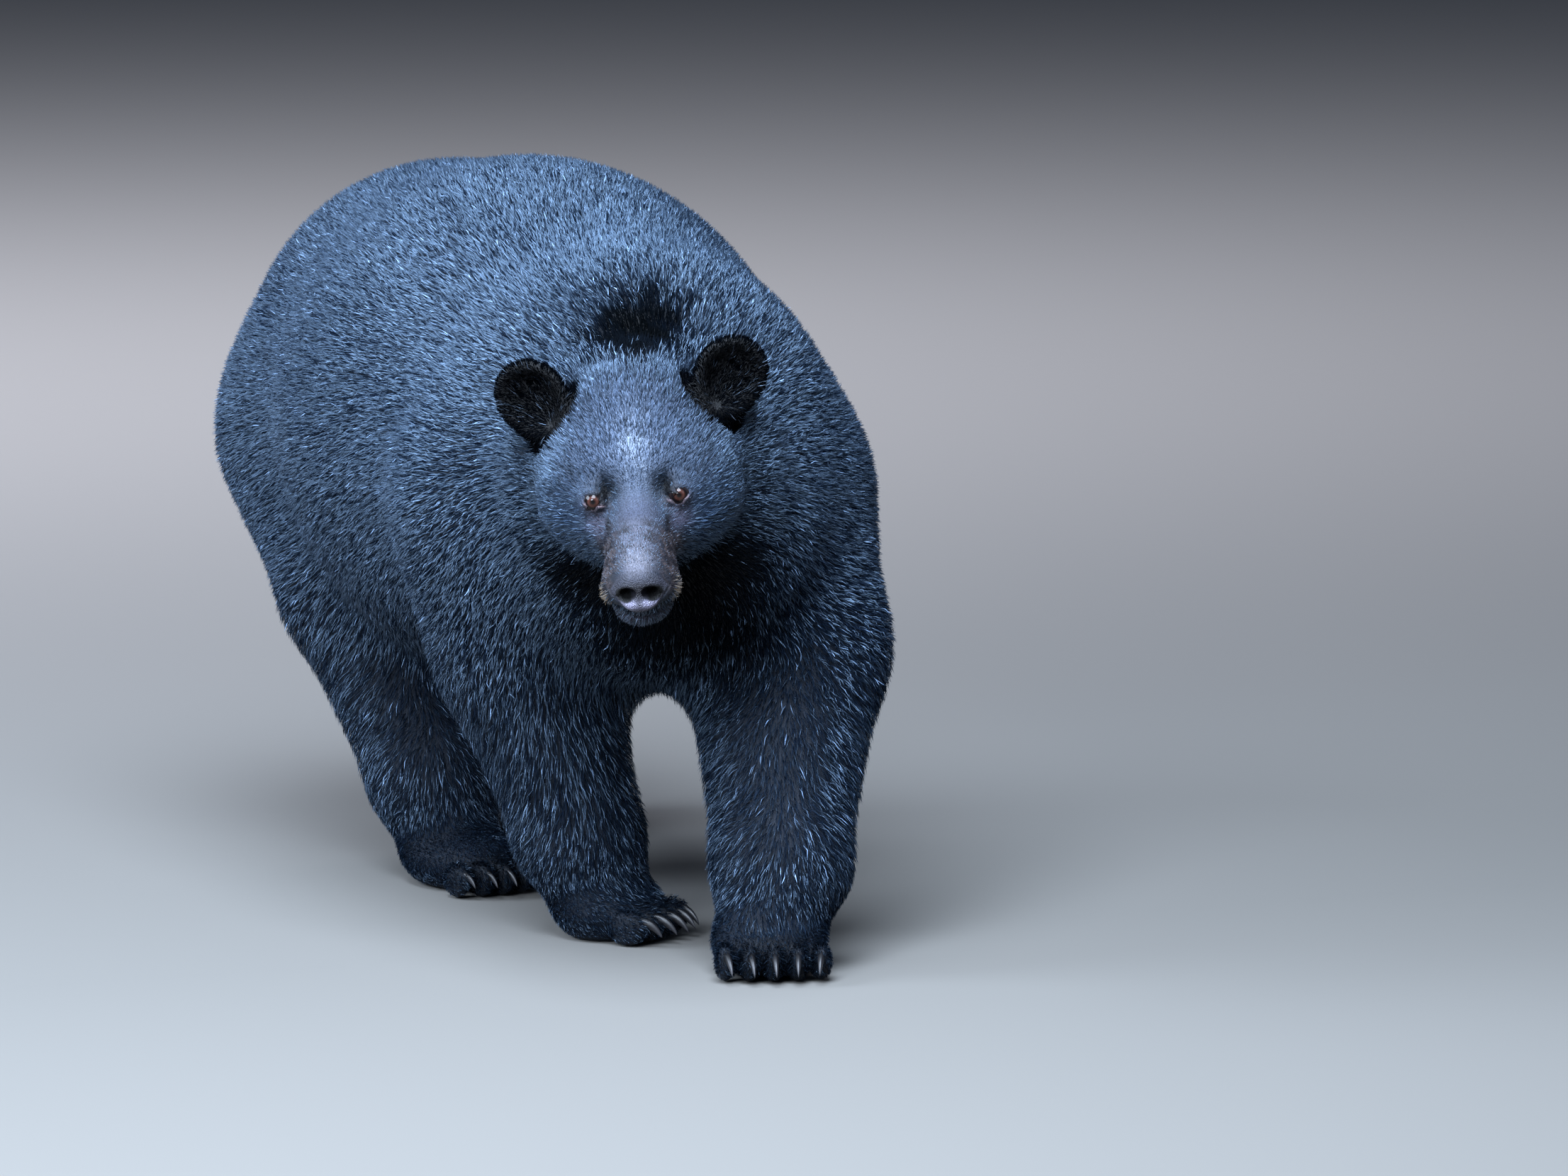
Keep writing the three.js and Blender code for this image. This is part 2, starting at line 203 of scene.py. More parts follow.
def face_form(q):
    """The face, with a hollow between eye and bridge, a groove down the muzzle, and one behind the cheek."""
    m = mirrored(q)
    hollows = 6 * spot(m, (32, -18, 11), (10, 28, 15), 3) + 2.5 * spot(m, (37, -46, -36), (6, 30, 12))
    return face_solid(q) + hollows + 6 * spot(m, (122, 62, -22), (12, 22, 70), 3)


head_field = bounded(head_place.within(face_form), head_place.out((0, 20, -10)), 200)

trunk_masses = [
    (ellipsoid((0, 430, 565), (303, 480, 322)), 1),
    (ellipsoid((0, 795, 590), (256, 258, 266)), 120),
    (ellipsoid((0, 60, 540), (243, 285, 253)), 110),
    (ellipsoid((0, -110, 478), (170, 165, 140)), 80),
    (limb((-8, -20, 590), head_place.out((0, 170, -10)), 190, 132), 100),
    (head_place.within(ellipsoid((0, 138, -12), (154, 72, 148))), 40),
]

TOES = (-2, -1, 0, 1, 2)


def toe_centre(i, hind):
    return (i * 27, 6 - (92 if hind else 66) * (1 - 0.035 * i * i), 24)


def paw_place(leg):
    return Place((*leg["sole"], 0), turned(z=leg["toe_in"]))


def leg_field(leg):
    (top, middle, ankle), (r0, r1, r2) = leg["joints"], leg["radii"]
    place, hind = paw_place(leg), leg["hind"]
    toes = [(ellipsoid(toe_centre(i, hind), (16, 30, 25), (-10, 0, 0)), 12) for i in TOES]
    paw = blended((ellipsoid((0, 8 if hind else 0, 34), (68, 92 if hind else 66, 42)), 1), *toes)
    heel = place.out((0, 44 if hind else 14, 62))
    paw = bounded(place.within(paw), place.out((0, -20, 34)), 110)
    whole = blended((limb(top, middle, r0, r1), 1), (limb(middle, ankle, r1, r2), 40),
                    (limb(ankle, heel, r2, 58), 30), (paw, 30))

    def creased(p):
        """The leg, with a fold across the foot above the toes."""
        q = place.into(p)
        q[:, 2] -= 0.14 * q[:, 0]
        return whole(p) + 6 * spot(q, (0, -80 if hind else -52, 62), (66, 20, 8), 3)

    centre = (np.array(top) + heel) / 2
    return bounded(creased, centre, np.linalg.norm(np.array(top) - centre) + r0)


leg_fields = [leg_field(leg) for leg in LEGS.values()]
tail_field = limb((0, 1040, 660), (0, 1082, 575), 48, 30)
body_field = blended(*trunk_masses, *[(f, 64) for f in leg_fields], (tail_field, 30), (head_field, 14))


def ear_place(s):
    at = (s * EAR["spread"], EAR["back"], EAR["up"] + (s > 0) * EAR["cocked"])
    return Place(at, turned(-8, s * 32, s * 14))


def ear_shape(q):
    """An ear in its own frame: a round cup of gristle, open to the front."""
    solid = joined(ellipsoid((0, 0, 0), (EAR["width"] / 2, 17, EAR["height"] / 2))(q),
                   ellipsoid((0, 6, -34), (34, 20, 34))(q), 20)
    cup = ellipsoid((0, -17, 1), (EAR["width"] / 2 - 11, 16, EAR["height"] / 2 - 12))(q)
    return cut(solid, cup, 8)


def ear_gap(q):
    """Distance to the nearer ear, in the head's frame."""
    return np.minimum(*[ear_place(s).within(ear_shape)(q) for s in SIDES])


ears_field = bounded(head_place.within(ear_gap), head_place.out((0, 84, 96)), 200)


def form_field(p):
    """Zero at the tips of the coat, ears and all."""
    return np.minimum(body_field(p), ears_field(p))


# The frame's origin is on the floor under the middle of the bear; an eye fixes how far that is from here.
eye_low, eye_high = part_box("eye_left")
eye_middle = head_place.out((EYE["spread"], EYE["y"], 0))
ORIGIN = np.array((eye_low + eye_high) / 2) - eye_middle / 1000


def to_row(p):
    """Millimetres in the bear's frame to metres in the row's."""
    return np.asarray(p, float) / 1000 + ORIGIN


def smooth(x, low, high):
    t = np.clip((x - low) / (high - low), 0, 1)
    return t * t * (3 - 2 * t)


# ---- The skin ---------------------------------------------------------------------------------------------
# One hide over the whole animal, as far under the form as the coat is deep: thin on muzzle, feet and ears.
# On the face it takes the lids, nostrils, lips and folds that the coat doesn't hide.

def coat_depth(p):
    """How far the skin lies under the tips of the coat, in millimetres."""
    q = head_place.into(p)
    m = mirrored(q)
    y = q[:, 1]
    face = 2.2 + 4.0 * smooth(y, -50, 15) + 3.4 * smooth(y, 10, 70) + 3.4 * smooth(y, 70, 130)
    face = face * (1 - 0.6 * spot(m, (47, -5, 0), (24, 30, 20), 4))
    face = face * (1 - 0.65 * spot(m, (0, -25, -12), (25, 46, 32), 4))
    body = 13 - 5.5 * smooth(150 - p[:, 2], 0, 80)
    body = body - 5 * smooth(22 - p[:, 2], 0, 20)
    near = smooth(length(q - (0, 50, 0)), 170, 230)
    return face + (body - face) * near


def eye_opening(q, s):
    """The almond between the lids, in millimetres: negative in the opening. q is in the head's frame."""
    e = (q - (s * EYE["spread"], EYE["y"], 0)) * (s, 1, 1)
    e = e @ turned(x=-12) @ turned(z=12)  # looks a little outwards and up
    u, v = e[:, 0], e[:, 2]
    tilt = math.radians(12)
    u, v = u * math.cos(tilt) + v * math.sin(tilt), v * math.cos(tilt) - u * math.sin(tilt)
    upper = np.hypot(u + 0.6, v + 6.8) - 10.8
    lower = np.hypot(u - 0.4, v - 4.5) - 10.4
    inner_corner = (np.hypot((u + 8.6) / 2.4, (v + 2.8) / 0.9) - 1) * 0.9
    almond = joined(np.maximum(upper, lower), inner_corner, 1.5)
    return np.maximum(almond, e[:, 1] + 2), u, v


def skin_field(p):
    """Zero on the hide."""
    d = body_field(p) + coat_depth(p)
    q = head_place.into(p)
    close = length(q - (0, 20, 10)) < 260
    f = q[close]
    hide_at = joined(d[close], ear_gap(f) + 4.5, 10)
    for s in SIDES:
        socket = f - (s * EYE["spread"], EYE["y"], 0)
        hide_at = cut(hide_at, length(socket + (-s * 5, 15, -2)) - 15, 12)
        hide_at = joined(hide_at, length(socket) - EYE["radius"] - 2.0, 5)
        opening, _, v = eye_opening(f, s)
        above = smooth(v, -2, 3)
        in_front = smooth(-socket[:, 1], -4, 4)
        crease = np.exp(-(((opening - 6.5 + 1.5 * above) / 1.4) ** 2))
        brim = np.exp(-(((opening - 1.7) / 1.5) ** 2)) * (0.6 + 1.4 * above)
        hide_at = hide_at + (1.0 * crease - brim) * in_front
        hide_at = cut(hide_at, opening, 1.0)
    m = mirrored(f)
    x, y, z = m.T
    # The mouth: a slit from under the nose back along the lips, and the groove up to the nose.
    slit = z + 97 + 0.0012 * (y + 70) ** 2 - 7 * smooth(-y, 40, 110) * smooth(x, 0, 22)
    hide_at = hide_at + 2 * np.exp(-((slit / 1.5) ** 2)) * smooth(-y, 24, 40)
    hide_at = hide_at + 0.8 * np.exp(-((x / 1.6) ** 2)) * smooth(-y, 122, 130) * smooth(-z, 72, 80)
    # The upper lip under the nose, and the nostrils, each a round mouth drawn out to the side in a slit.
    hide_at = joined(hide_at, ellipsoid((0, -124, -85), (21, 21, 13))(f), 8)
    for centre, radii, turn in (((15, -149, -74), (12, 33, 8.4), (0, 14, 8)),
                                ((25, -144, -78), (9, 20, 3.8), (0, 22, 0))):
        hide_at = cut(hide_at, ellipsoid(centre, radii, turn)(m), 2.0)
    # The wings of the nose stand a little over the lip, and its top runs level into the bridge.
    rim = pad_edge(f)
    lower_edge = smooth(-z, 60, 76)
    hide_at = hide_at + (1.2 * np.exp(-((rim / 2.0) ** 2)) - 0.6 * smooth(-rim, 0, 4)) * lower_edge
    d[close] = hide_at
    return np.maximum(d, 0.3 - p[:, 2])


def pad_edge(q):
    """Negative on the bare pad of the nose, in millimetres."""
    y, z = q[:, 1], q[:, 2]
    top = y + 122 + 0.55 * (z + 62)
    below = -(z + 96) + 0.022 * q[:, 0] ** 2
    return np.maximum(top, below)


def surface_net(field, low, high, step, reach=1.4):
    """Vertices and quads of a field's zero, one vertex in each grid cell that it crosses."""
    count = np.ceil((np.array(high) - low) / step).astype(int) + 1
    coarse = 4
    at = [low[i] + step * np.arange(count[i]) for i in range(3)]
    rough_at = [a[::coarse] for a in at]
    rough = np.stack(np.meshgrid(*rough_at, indexing="ij"), -1).reshape(-1, 3)
    rough = field(rough).reshape([len(a) for a in rough_at])
    values = rough
    for axis in range(3):
        values = np.repeat(values, coarse, axis)
    values = values[: count[0], : count[1], : count[2]].copy()
    near = np.argwhere(np.abs(values) < step * coarse * reach)
    values[tuple(near.T)] = field(low + step * near)

    sums = np.zeros((4, values.size))
    inside = values < 0
    strides = np.array((count[1] * count[2], count[2], 1))
    crossings = []
    for axis in range(3):
        first = np.argwhere(np.diff(inside, axis=axis))
        second = first + np.eye(3, dtype=int)[axis]
        a, b = values[tuple(first.T)], values[tuple(second.T)]
        point = low + step * (first + np.eye(3)[axis] * (a / (a - b))[:, None])
        u, w = np.eye(3, dtype=int)[(axis + 1) % 3], np.eye(3, dtype=int)[(axis + 2) % 3]
        ring = [(first - i * u - j * w) @ strides for i, j in ((0, 0), (1, 0), (1, 1), (0, 1))]
        for cell in ring:
            for i in range(3):
                sums[i] += np.bincount(cell, point[:, i], values.size)
            sums[3] += np.bincount(cell, minlength=values.size)
        quad = np.stack(ring, 1)
        crossings.append(np.where((a < 0)[:, None], quad, quad[:, ::-1]))
    cells = np.flatnonzero(sums[3])
    number = np.full(values.size, -1)
    number[cells] = np.arange(len(cells))
    return (sums[:3, cells] / sums[3, cells]).T, number[np.concatenate(crossings)]


def drawn(field, p, reach, turns=3):
    """Moves points onto the field's zero, none further than reach."""
    start = p.copy()
    for _ in range(turns):
        d = field(p)
        g = np.stack([field(p + s) - d for s in np.eye(3) * 0.4], 1) / 0.4
        p = p - g * (d / np.maximum(np.einsum("ij,ij->i", g, g), 0.3))[:, None]
        away = p - start
        far = length(away)[:, None]
        p = start + away * np.minimum(1, reach / np.maximum(far, 1e-9))
    return p


SKIN_STEP = 8.0
low_corner = (np.array(cad_box[0]) - ORIGIN) * 1000 - 12
high_corner = (np.array(cad_box[1]) - ORIGIN) * 1000 + 12
hide_points, hide_quads = surface_net(skin_field, low_corner, high_corner, SKIN_STEP)
hide_points = drawn(skin_field, hide_points, SKIN_STEP * 0.6)

hide_mesh = bpy.data.meshes.new("bear_skin")
hide_mesh.from_pydata(hide_points, [], hide_quads.tolist())
hide = bmesh.new()
hide.from_mesh(hide_mesh)


def refine(inside, reach):
    """Splits the hide's edges where both ends pass inside(point), and fits what is there to the field."""
    chosen = inside(np.array([v.co for v in hide.verts]))
    hide.verts.index_update()
    edges = [e for e in hide.edges if chosen[e.verts[0].index] and chosen[e.verts[1].index]]
    bmesh.ops.subdivide_edges(hide, edges=edges, cuts=1, use_grid_fill=True)
    co = np.array([v.co for v in hide.verts])
    moved = np.flatnonzero(inside(co))
    fitted = drawn(skin_field, co[moved], reach)
    hide.verts.ensure_lookup_table()
    for i, place in zip(moved, fitted):
        hide.verts[i].co = place


def around_face(p):
    q = head_place.into(p)
    return (q[:, 1] < 120) & (length(q - (0, 20, 10)) < 230)


def from_eyes(q):
    """Distance to the middle of the nearer eye, in the head's frame."""
    return np.minimum(*[length(q - (s * EYE["spread"], EYE["y"], 0)) for s in SIDES])


def around_muzzle(p):
    q = head_place.into(p)
    return ((q[:, 1] < -20) & (length(q - (0, -90, -70)) < 90)) | (from_eyes(q) < 30)


def around_openings(p):
    q = head_place.into(p)
    return (from_eyes(q) < 20) | ((q[:, 1] < -112) & (length(q - (0, -140, -66)) < 46))


for region, reach in ((around_face, 4), (around_muzzle, 3), (around_openings, 2)):
    refine(region, reach)
for v in hide.verts:
    v.co = to_row(v.co)
hide.to_mesh(hide_mesh)
hide.free()
hide_mesh.shade_smooth()
skin = bpy.data.objects.new("skin", hide_mesh)
bpy.context.collection.objects.link(skin)
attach(skin, "root")
flesh = [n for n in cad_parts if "claw" not in n and "eye" not in n]
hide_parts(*flesh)


def linear(colour, alpha=1.0):
    """An sRGB hex colour as linear values."""
    parts = [int(colour[i : i + 2], 16) / 255 for i in (1, 3, 5)]
    return [c / 12.92 if c <= 0.04045 else ((c + 0.055) / 1.055) ** 2.4 for c in parts] + [alpha]


def new_material(name):
    made = bpy.data.materials.new(name)
    made.use_nodes = True
    return made, made.node_tree.nodes["Principled BSDF"]


def node(material, kind, settings=None, **links):
    """Adds a node. Settings are its properties; links are socket names with values or other sockets."""
    tree = material.node_tree
    made = tree.nodes.new(kind)
    for key, value in (settings or {}).items():
        setattr(made, key, value)
    for key, value in links.items():
        socket = made.inputs[int(key[1:])] if key[1:].isdigit() else made.inputs[key.replace("_", " ")]
        if isinstance(value, bpy.types.NodeSocket):
            tree.links.new(value, socket)
        else:
            socket.default_value = value
    return made


# The hide is laid out flat, so that each tuft of the coat has a place of its own on it.
bpy.context.view_layer.objects.active = skin
skin.select_set(True)
bpy.ops.object.mode_set(mode="EDIT")
bpy.ops.mesh.select_all(action="SELECT")
bpy.ops.uv.smart_project(angle_limit=math.radians(66), island_margin=0.001)
bpy.ops.object.mode_set(mode="OBJECT")
hide_mesh.uv_layers[0].name = "OFBake"


def on_ear(q):
    """1 on the ears, in the head's frame."""
    return smooth(12 - ear_gap(q), 0, 6) * (length(q - (0, 84, 90)) < 190)


def mouth_corner(q):
    """1 at the corners of the mouth, where the hair is tan."""
    return spot(mirrored(q), (41, -106, -80), (10, 20, 17), 4)


def beard(q):
    """1 under the lower lip and chin."""
    return spot(mirrored(q), (0, -92, -118), (46, 46, 20), 4)


def mixed(colour, other, share):
    """A linear colour with a share of an sRGB one laid over it."""
    return colour + (np.array(linear(other)[:3]) - colour) * np.clip(share, 0, 1)[:, None]


def markings_and_painted_light(p):
    """The linear colour of skin and coat: black with a blue cast, greyer on the face where much is painted
    sheen and light, brown at the sides of the muzzle, with painted shade in hollows, folds, under the cheeks
    and on chest and nape.
    """
    q = head_place.into(p)
    m = mirrored(q)
    y = q[:, 1]
    # Black with a painted blue cast, standing in for blue sky light on the coat.
    colour = np.tile(linear("#0a121d")[:3], (len(p), 1))
    colour = mixed(colour, "#030405", 0.9 * spot(p, (-40, -260, 400), (130, 190, 130), 3))  # dark chest: darker fur, and painted shade under the head
    colour = mixed(colour, "#4b576b", 0.85 * spot(m, (0, 20, 60), (84, 84, 74), 3))  # crown and forehead, paler as painted sheen of the light above
    colour = mixed(colour, "#253449", 0.7 * spot(m, (80, 16, -34), (46, 60, 46), 3))  # cheeks, paler as painted light from the front
    pale = spot(mirrored(q + 4 * waves(q, 20, 24)), (2, 0, 46), (13, 40, 44), 2)
    pale = pale * (0.6 + 0.4 * waves(q, 9, 23)[:, 0])
    colour = mixed(colour, "#7d8797", 0.8 * pale)  # the pale streak up it
    ragged = q + 12 * waves(q, 46, 31)
    for centre, radii in (((-16, 172, 142), (44, 80, 60)), ((24, 190, 148), (46, 104, 62))):  # dark nape: black hair and painted shade of the fold behind the head
        colour = mixed(colour, "#010203", 1.1 * spot(ragged, centre, radii, 2))
    colour = mixed(colour, "#030405", spot(q, (9, 104, 142), (20, 44, 30), 3))  # its wedge in the crown, also painted shade
    flecks = 0.5 + 0.5 * np.tanh(4 * (waves(q, 18, 21)[:, 0] + 0.8 * waves(q, 8, 22)[:, 1] + 0.1))
    top = spot(m, (0, -72, -38), (27, 70, 40), 4)
    colour = mixed(colour, "#3a3b45", top)  # grey top of the muzzle, partly painted sheen of the light above
    colour = mixed(colour, "#131012", 0.95 * top * flecks * smooth(m[:, 0] + 0.2 * (-70 - y), 0, 14))
    colour = mixed(colour, "#51515a", 0.8 * spot(m, (0, -112, -44), (16, 44, 16), 3))  # its pale middle, a painted highlight
    colour = mixed(colour, "#2b3040", 0.6 * spot(m, (0, -36, -4), (24, 22, 24), 3))  # its darker root
    flank = spot(m, (37, -70, -56), (18, 58, 36), 4)
    colour = mixed(colour, "#151215", 0.95 * flank)  # its brown sides
    colour = mixed(colour, "#3d3332", 0.6 * flank * flecks)
    colour = mixed(colour, "#3a3947", 0.85 * spot(m, (47, -26, -25), (13, 22, 13), 3))  # below the eyes
    colour = mixed(colour, "#34313b", 0.8 * spot(m, (45, -22, -4), (16, 16, 15), 4))  # lids
    colour = mixed(colour, "#040507", 1.05 * spot(m, (33, -19, 10), (17, 32, 19), 2))  # painted shade in the hollows by the bridge
    colour = mixed(colour, "#08080b", 0.9 * spot(m, (33, -50, -22), (3, 36, 9), 3))  # and in the grooves
    colour = mixed(colour, "#25252c", 0.9 * spot(m, (0, -100, -112), (40, 46, 22), 4))  # dark chin
    colour = mixed(colour, "#3b3943", 0.9 * spot(m, (0, -122, -101), (26, 20, 5), 3))  # grey edge of the lip
    colour = mixed(colour, "#030405", 0.85 * spot(m, (76, 66, -112), (88, 70, 46), 3))  # painted shade under the cheeks
    for side, strength in ((-1, 0.9), (1, 0.5)):  # painted shade in the fold behind each cheek, deeper on the right
        colour = mixed(colour, "#030406", strength * spot(q, (side * 118, 54, -22), (10, 30, 62), 3))
    for leg in LEGS.values():  # black toes
        toes = spot(paw_place(leg).into(p), (0, -92 if leg["hind"] else -68, 22), (84, 44, 32), 3)
        colour = mixed(colour, "#06080b", 0.6 * toes)
    return mixed(colour, "#010204", on_ear(q))


def unit(v):
    return v / np.maximum(length(v), 1e-9)[:, None]


def waves(p, size, seed):
    """A smooth field of three values from about -1 to 1, that turns over in about size millimetres."""
    draws = np.random.default_rng(seed)
    total = np.zeros((len(p), 3))
    for _ in range(5):
        along = unit(draws.normal(size=(3, 3))) * draws.uniform(0.6, 1.5, (3, 1)) * 2 * math.pi / size
        total += np.sin(p @ along.T + draws.uniform(0, 6.28, 3))
    return total / 2.2


def cuff(p):
    """1 along the fold where the long hair of a leg ends over the toes."""
    at = [paw_place(leg).into(p) for leg in LEGS.values()]
    return np.maximum.reduce([spot(f, (0, -66 if leg["hind"] else -44, 66), (66, 34, 13), 3)
                              for f, leg in zip(at, LEGS.values())])


def combed(p, normal):
    """Which way the hair lies at points of the hide, as unit vectors along it."""
    q = head_place.into(p)
    low = smooth(700 - p[:, 2], 0, 420)[:, None]
    lie = np.array((0, 1, -0.12)) + low * (0, -0.25, -1.05)
    legs = smooth(430 - p[:, 2], 0, 150)[:, None]
    lie = lie * (1 - legs) + legs * (0, 0.22, -1)
    for leg in LEGS.values():
        place = paw_place(leg)
        foot = place.into(p)
        on = (smooth(96 - foot[:, 2], 0, 50) * (length(foot[:, :2]) < 150))[:, None]
        lie = lie * (1 - on) + on * (np.array((0, -1, -0.45)) @ place.turn.T)
    outward = q - (0, -178, -60)
    outward = outward @ head_turn.T
    face = 1 - smooth(length(q - (0, 40, 0)), 140, 220)[:, None]
    lie = lie * (1 - face) + face * unit(outward) * 1.2
    for s in SIDES:
        ear = ear_place(s)
        e = ear.into(q)
        on = (1 - smooth(ear_shape(e), 6, 14))[:, None]
        up = (e + (0, 10, 34)) @ ear.turn.T @ head_turn.T
        lie = lie * (1 - on) + on * unit(up)
    tail = (1 - smooth(tail_field(p), 0, 30))[:, None] * (p[:, 1:2] > 1000)
    lie = lie * (1 - tail) + tail * (0, 0.2, -1)
    calm = smooth(p[:, 2], 300, 480)[:, None]
    lie = unit(lie) + (0.14 - 0.04 * calm) * waves(p, 210, 3) + 0.07 * waves(p, 46, 4)
    return unit(lie - normal * np.einsum("ij,ij->i", lie, normal)[:, None])


# ---- Eyes -------------------------------------------------------------------------------------------------
# Glass eyes, each a ball set in its socket behind the lids: a brown iris round a small pupil under a clear
# dome, with a dark rim where the iris ends.

eye_glass, eye_shader = new_material("eye_glass")
from_axis = node(eye_glass, "ShaderNodeAttribute", {"attribute_name": "from_axis"})
ring = node(eye_glass, "ShaderNodeValToRGB", _0=from_axis.outputs["Fac"])
ring.color_ramp.interpolation = "EASE"
ring.color_ramp.elements[1].color = linear("#1c1515")
for at, colour in ((0.0, "#040304"), (0.15, "#0a0606"), (0.25, "#291611"), (0.4, "#3e241e"), (0.5, "#2f1a15"),
                   (0.6, "#170c0a"), (0.68, "#080506")):
    stop = ring.color_ramp.elements[0] if at == 0 else ring.color_ramp.elements.new(at)
    stop.position, stop.color = at, linear(colour)
eye_glass.node_tree.links.new(ring.outputs["Color"], eye_shader.inputs["Base Color"])
eye_shader.inputs["Roughness"].default_value = 0.6
eye_shader.inputs["IOR"].default_value = 1.1
eye_shader.inputs["Coat Weight"].default_value = 0.4
eye_shader.inputs["Coat Roughness"].default_value = 0.06

for side, s in (("left", 1), ("right", -1)):
    ball = bmesh.new()
    bmesh.ops.create_uvsphere(ball, u_segments=40, v_segments=28, radius=EYE["radius"])
    eye_mesh = bpy.data.meshes.new(f"eye_ball_{side}")
    ball.to_mesh(eye_mesh)
    ball.free()
    at = np.array([v.co for v in eye_mesh.vertices])
    angle = np.arccos(np.clip(at[:, 2] / EYE["radius"], -1, 1))
    at = at * (1 + 0.07 * (1 - smooth(angle, 0.3, 0.75)))[:, None]
    gaze = turned(z=s * 3) @ turned(x=90 - 10)  # the ball's pole looks along -Y
    at = head_place.out(at @ gaze.T + (s * EYE["spread"], EYE["y"] + 1, 0))
    eye_mesh.vertices.foreach_set("co", to_row(at).astype(np.float32).ravel())
    eye_mesh.attributes.new("from_axis", "FLOAT", "POINT").data.foreach_set("value", angle.astype(np.float32))
    eye_mesh.shade_smooth()
    eye_mesh.materials.append(eye_glass)
    eye = bpy.data.objects.new(f"eye_ball_{side}", eye_mesh)
    bpy.context.collection.objects.link(eye)
    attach(eye, "root")
    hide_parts(f"eye_{side}")


# ---- Claws ------------------------------------------------------------------------------------------------
# Curved horn, deeper than wide, rooted in the toes, five to a foot. It is black where it leaves the toe and
# grey towards the worn tip.

claw_horn, claw_shader = new_material("claw_horn")
claw_along = node(claw_horn, "ShaderNodeAttribute", {"attribute_name": "along"})
horn = node(claw_horn, "ShaderNodeValToRGB", _0=claw_along.outputs["Fac"])
horn.color_ramp.elements[0].color = linear("#09080a")
horn.color_ramp.elements[0].position = 0.5
horn.color_ramp.elements[1].color = linear("#2b2a2e")
claw_horn.node_tree.links.new(horn.outputs["Color"], claw_shader.inputs["Base Color"])
claw_shader.inputs["Roughness"].default_value = 0.45

CLAW_LENGTH, CLAW_BEND, CLAW_SIDES, CLAW_RINGS = 36, math.radians(62), 14, 12
for name, leg in LEGS.items():
    claw_points, claw_faces, claw_t = [], [], []
    reach = CLAW_LENGTH * (0.8 if leg["hind"] else 1)
    for i in TOES:
        foot = toe_centre(i, leg["hind"])
        first = len(claw_points)
        for k in range(CLAW_RINGS + 1):
            t = k / CLAW_RINGS
            along = -0.2 + 1.2 * t
            radius = reach * 0.17 * (1 - max(along, 0) ** 1.7) ** 0.8 + 0.15
            for n in range(CLAW_SIDES):
                turn = 2 * math.pi * n / CLAW_SIDES
                out, up = radius * 0.68 * math.cos(turn), radius * math.sin(turn)
                bend = max(along, 0) * CLAW_BEND
                arm = reach / CLAW_BEND + up
                forward = arm * math.sin(bend) + min(along, 0) * reach
                at = (out, -forward, arm * math.cos(bend) - reach / CLAW_BEND)
                at = np.array(at) @ turned(z=-5 * i).T + (foot[0], foot[1] - 12, foot[2] + 6)
                claw_points.append(np.maximum(paw_place(leg).out(at), (-9999, -9999, 0.4)))
                claw_t.append(t)
        for k in range(CLAW_RINGS):
            for n in range(CLAW_SIDES):
                a, b = first + k * CLAW_SIDES + n, first + k * CLAW_SIDES + (n + 1) % CLAW_SIDES
                claw_faces.append((a, b, b + CLAW_SIDES, a + CLAW_SIDES))
        claw_faces.append([first + n for n in range(CLAW_SIDES)][::-1])
        claw_faces.append([first + CLAW_RINGS * CLAW_SIDES + n for n in range(CLAW_SIDES)])
    claw_mesh = bpy.data.meshes.new(f"{name}_claws")
    claw_mesh.from_pydata(to_row(claw_points), [], claw_faces)
    claw_mesh.attributes.new("along", "FLOAT", "POINT").data.foreach_set("value", claw_t)
    claw_mesh.shade_smooth()
    claw_mesh.materials.append(claw_horn)
    claws = bpy.data.objects.new(f"{name}_claws", claw_mesh)
    bpy.context.collection.objects.link(claws)
    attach(claws, "root")
    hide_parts(*[f"{name}_claw_{i + 3}" for i in TOES])


# ---- The coat ---------------------------------------------------------------------------------------------
# Guard hair over dense underfur, in tufts that lie back along the body. Each is a thin tapered blade with its
# root in the hide; the longest are on belly, flanks and ruff and the shortest on muzzle and feet.

hide_mesh.calc_loop_triangles()
corner = np.zeros(len(hide_mesh.loop_triangles) * 3, int)
hide_mesh.loop_triangles.foreach_get("vertices", corner)
corner = corner.reshape(-1, 3)
loop = np.zeros_like(corner).ravel()
hide_mesh.loop_triangles.foreach_get("loops", loop)
loop = loop.reshape(-1, 3)
vertex = np.zeros(len(hide_mesh.vertices) * 3)
hide_mesh.vertices.foreach_get("co", vertex)
vertex = (vertex.reshape(-1, 3) - ORIGIN) * 1000
vertex_normal = np.zeros(len(hide_mesh.vertices) * 3)
hide_mesh.vertices.foreach_get("normal", vertex_normal)
vertex_normal = vertex_normal.reshape(-1, 3)
layout = np.zeros(len(hide_mesh.loops) * 2)
hide_mesh.uv_layers["OFBake"].data.foreach_get("uv", layout)
layout = layout.reshape(-1, 2)


def put_colours(mesh, colours):
    made = mesh.attributes.new("marking_and_painted_light", "FLOAT_COLOR", "POINT")
    made.data.foreach_set("color", np.concatenate([colours, np.ones((len(colours), 1))], 1).ravel())


def put_values(mesh, name, values):
    mesh.attributes.new(name, "FLOAT", "POINT").data.foreach_set("value", values.astype(np.float32))


hide_colour = markings_and_painted_light(vertex)
in_head = head_place.into(vertex)
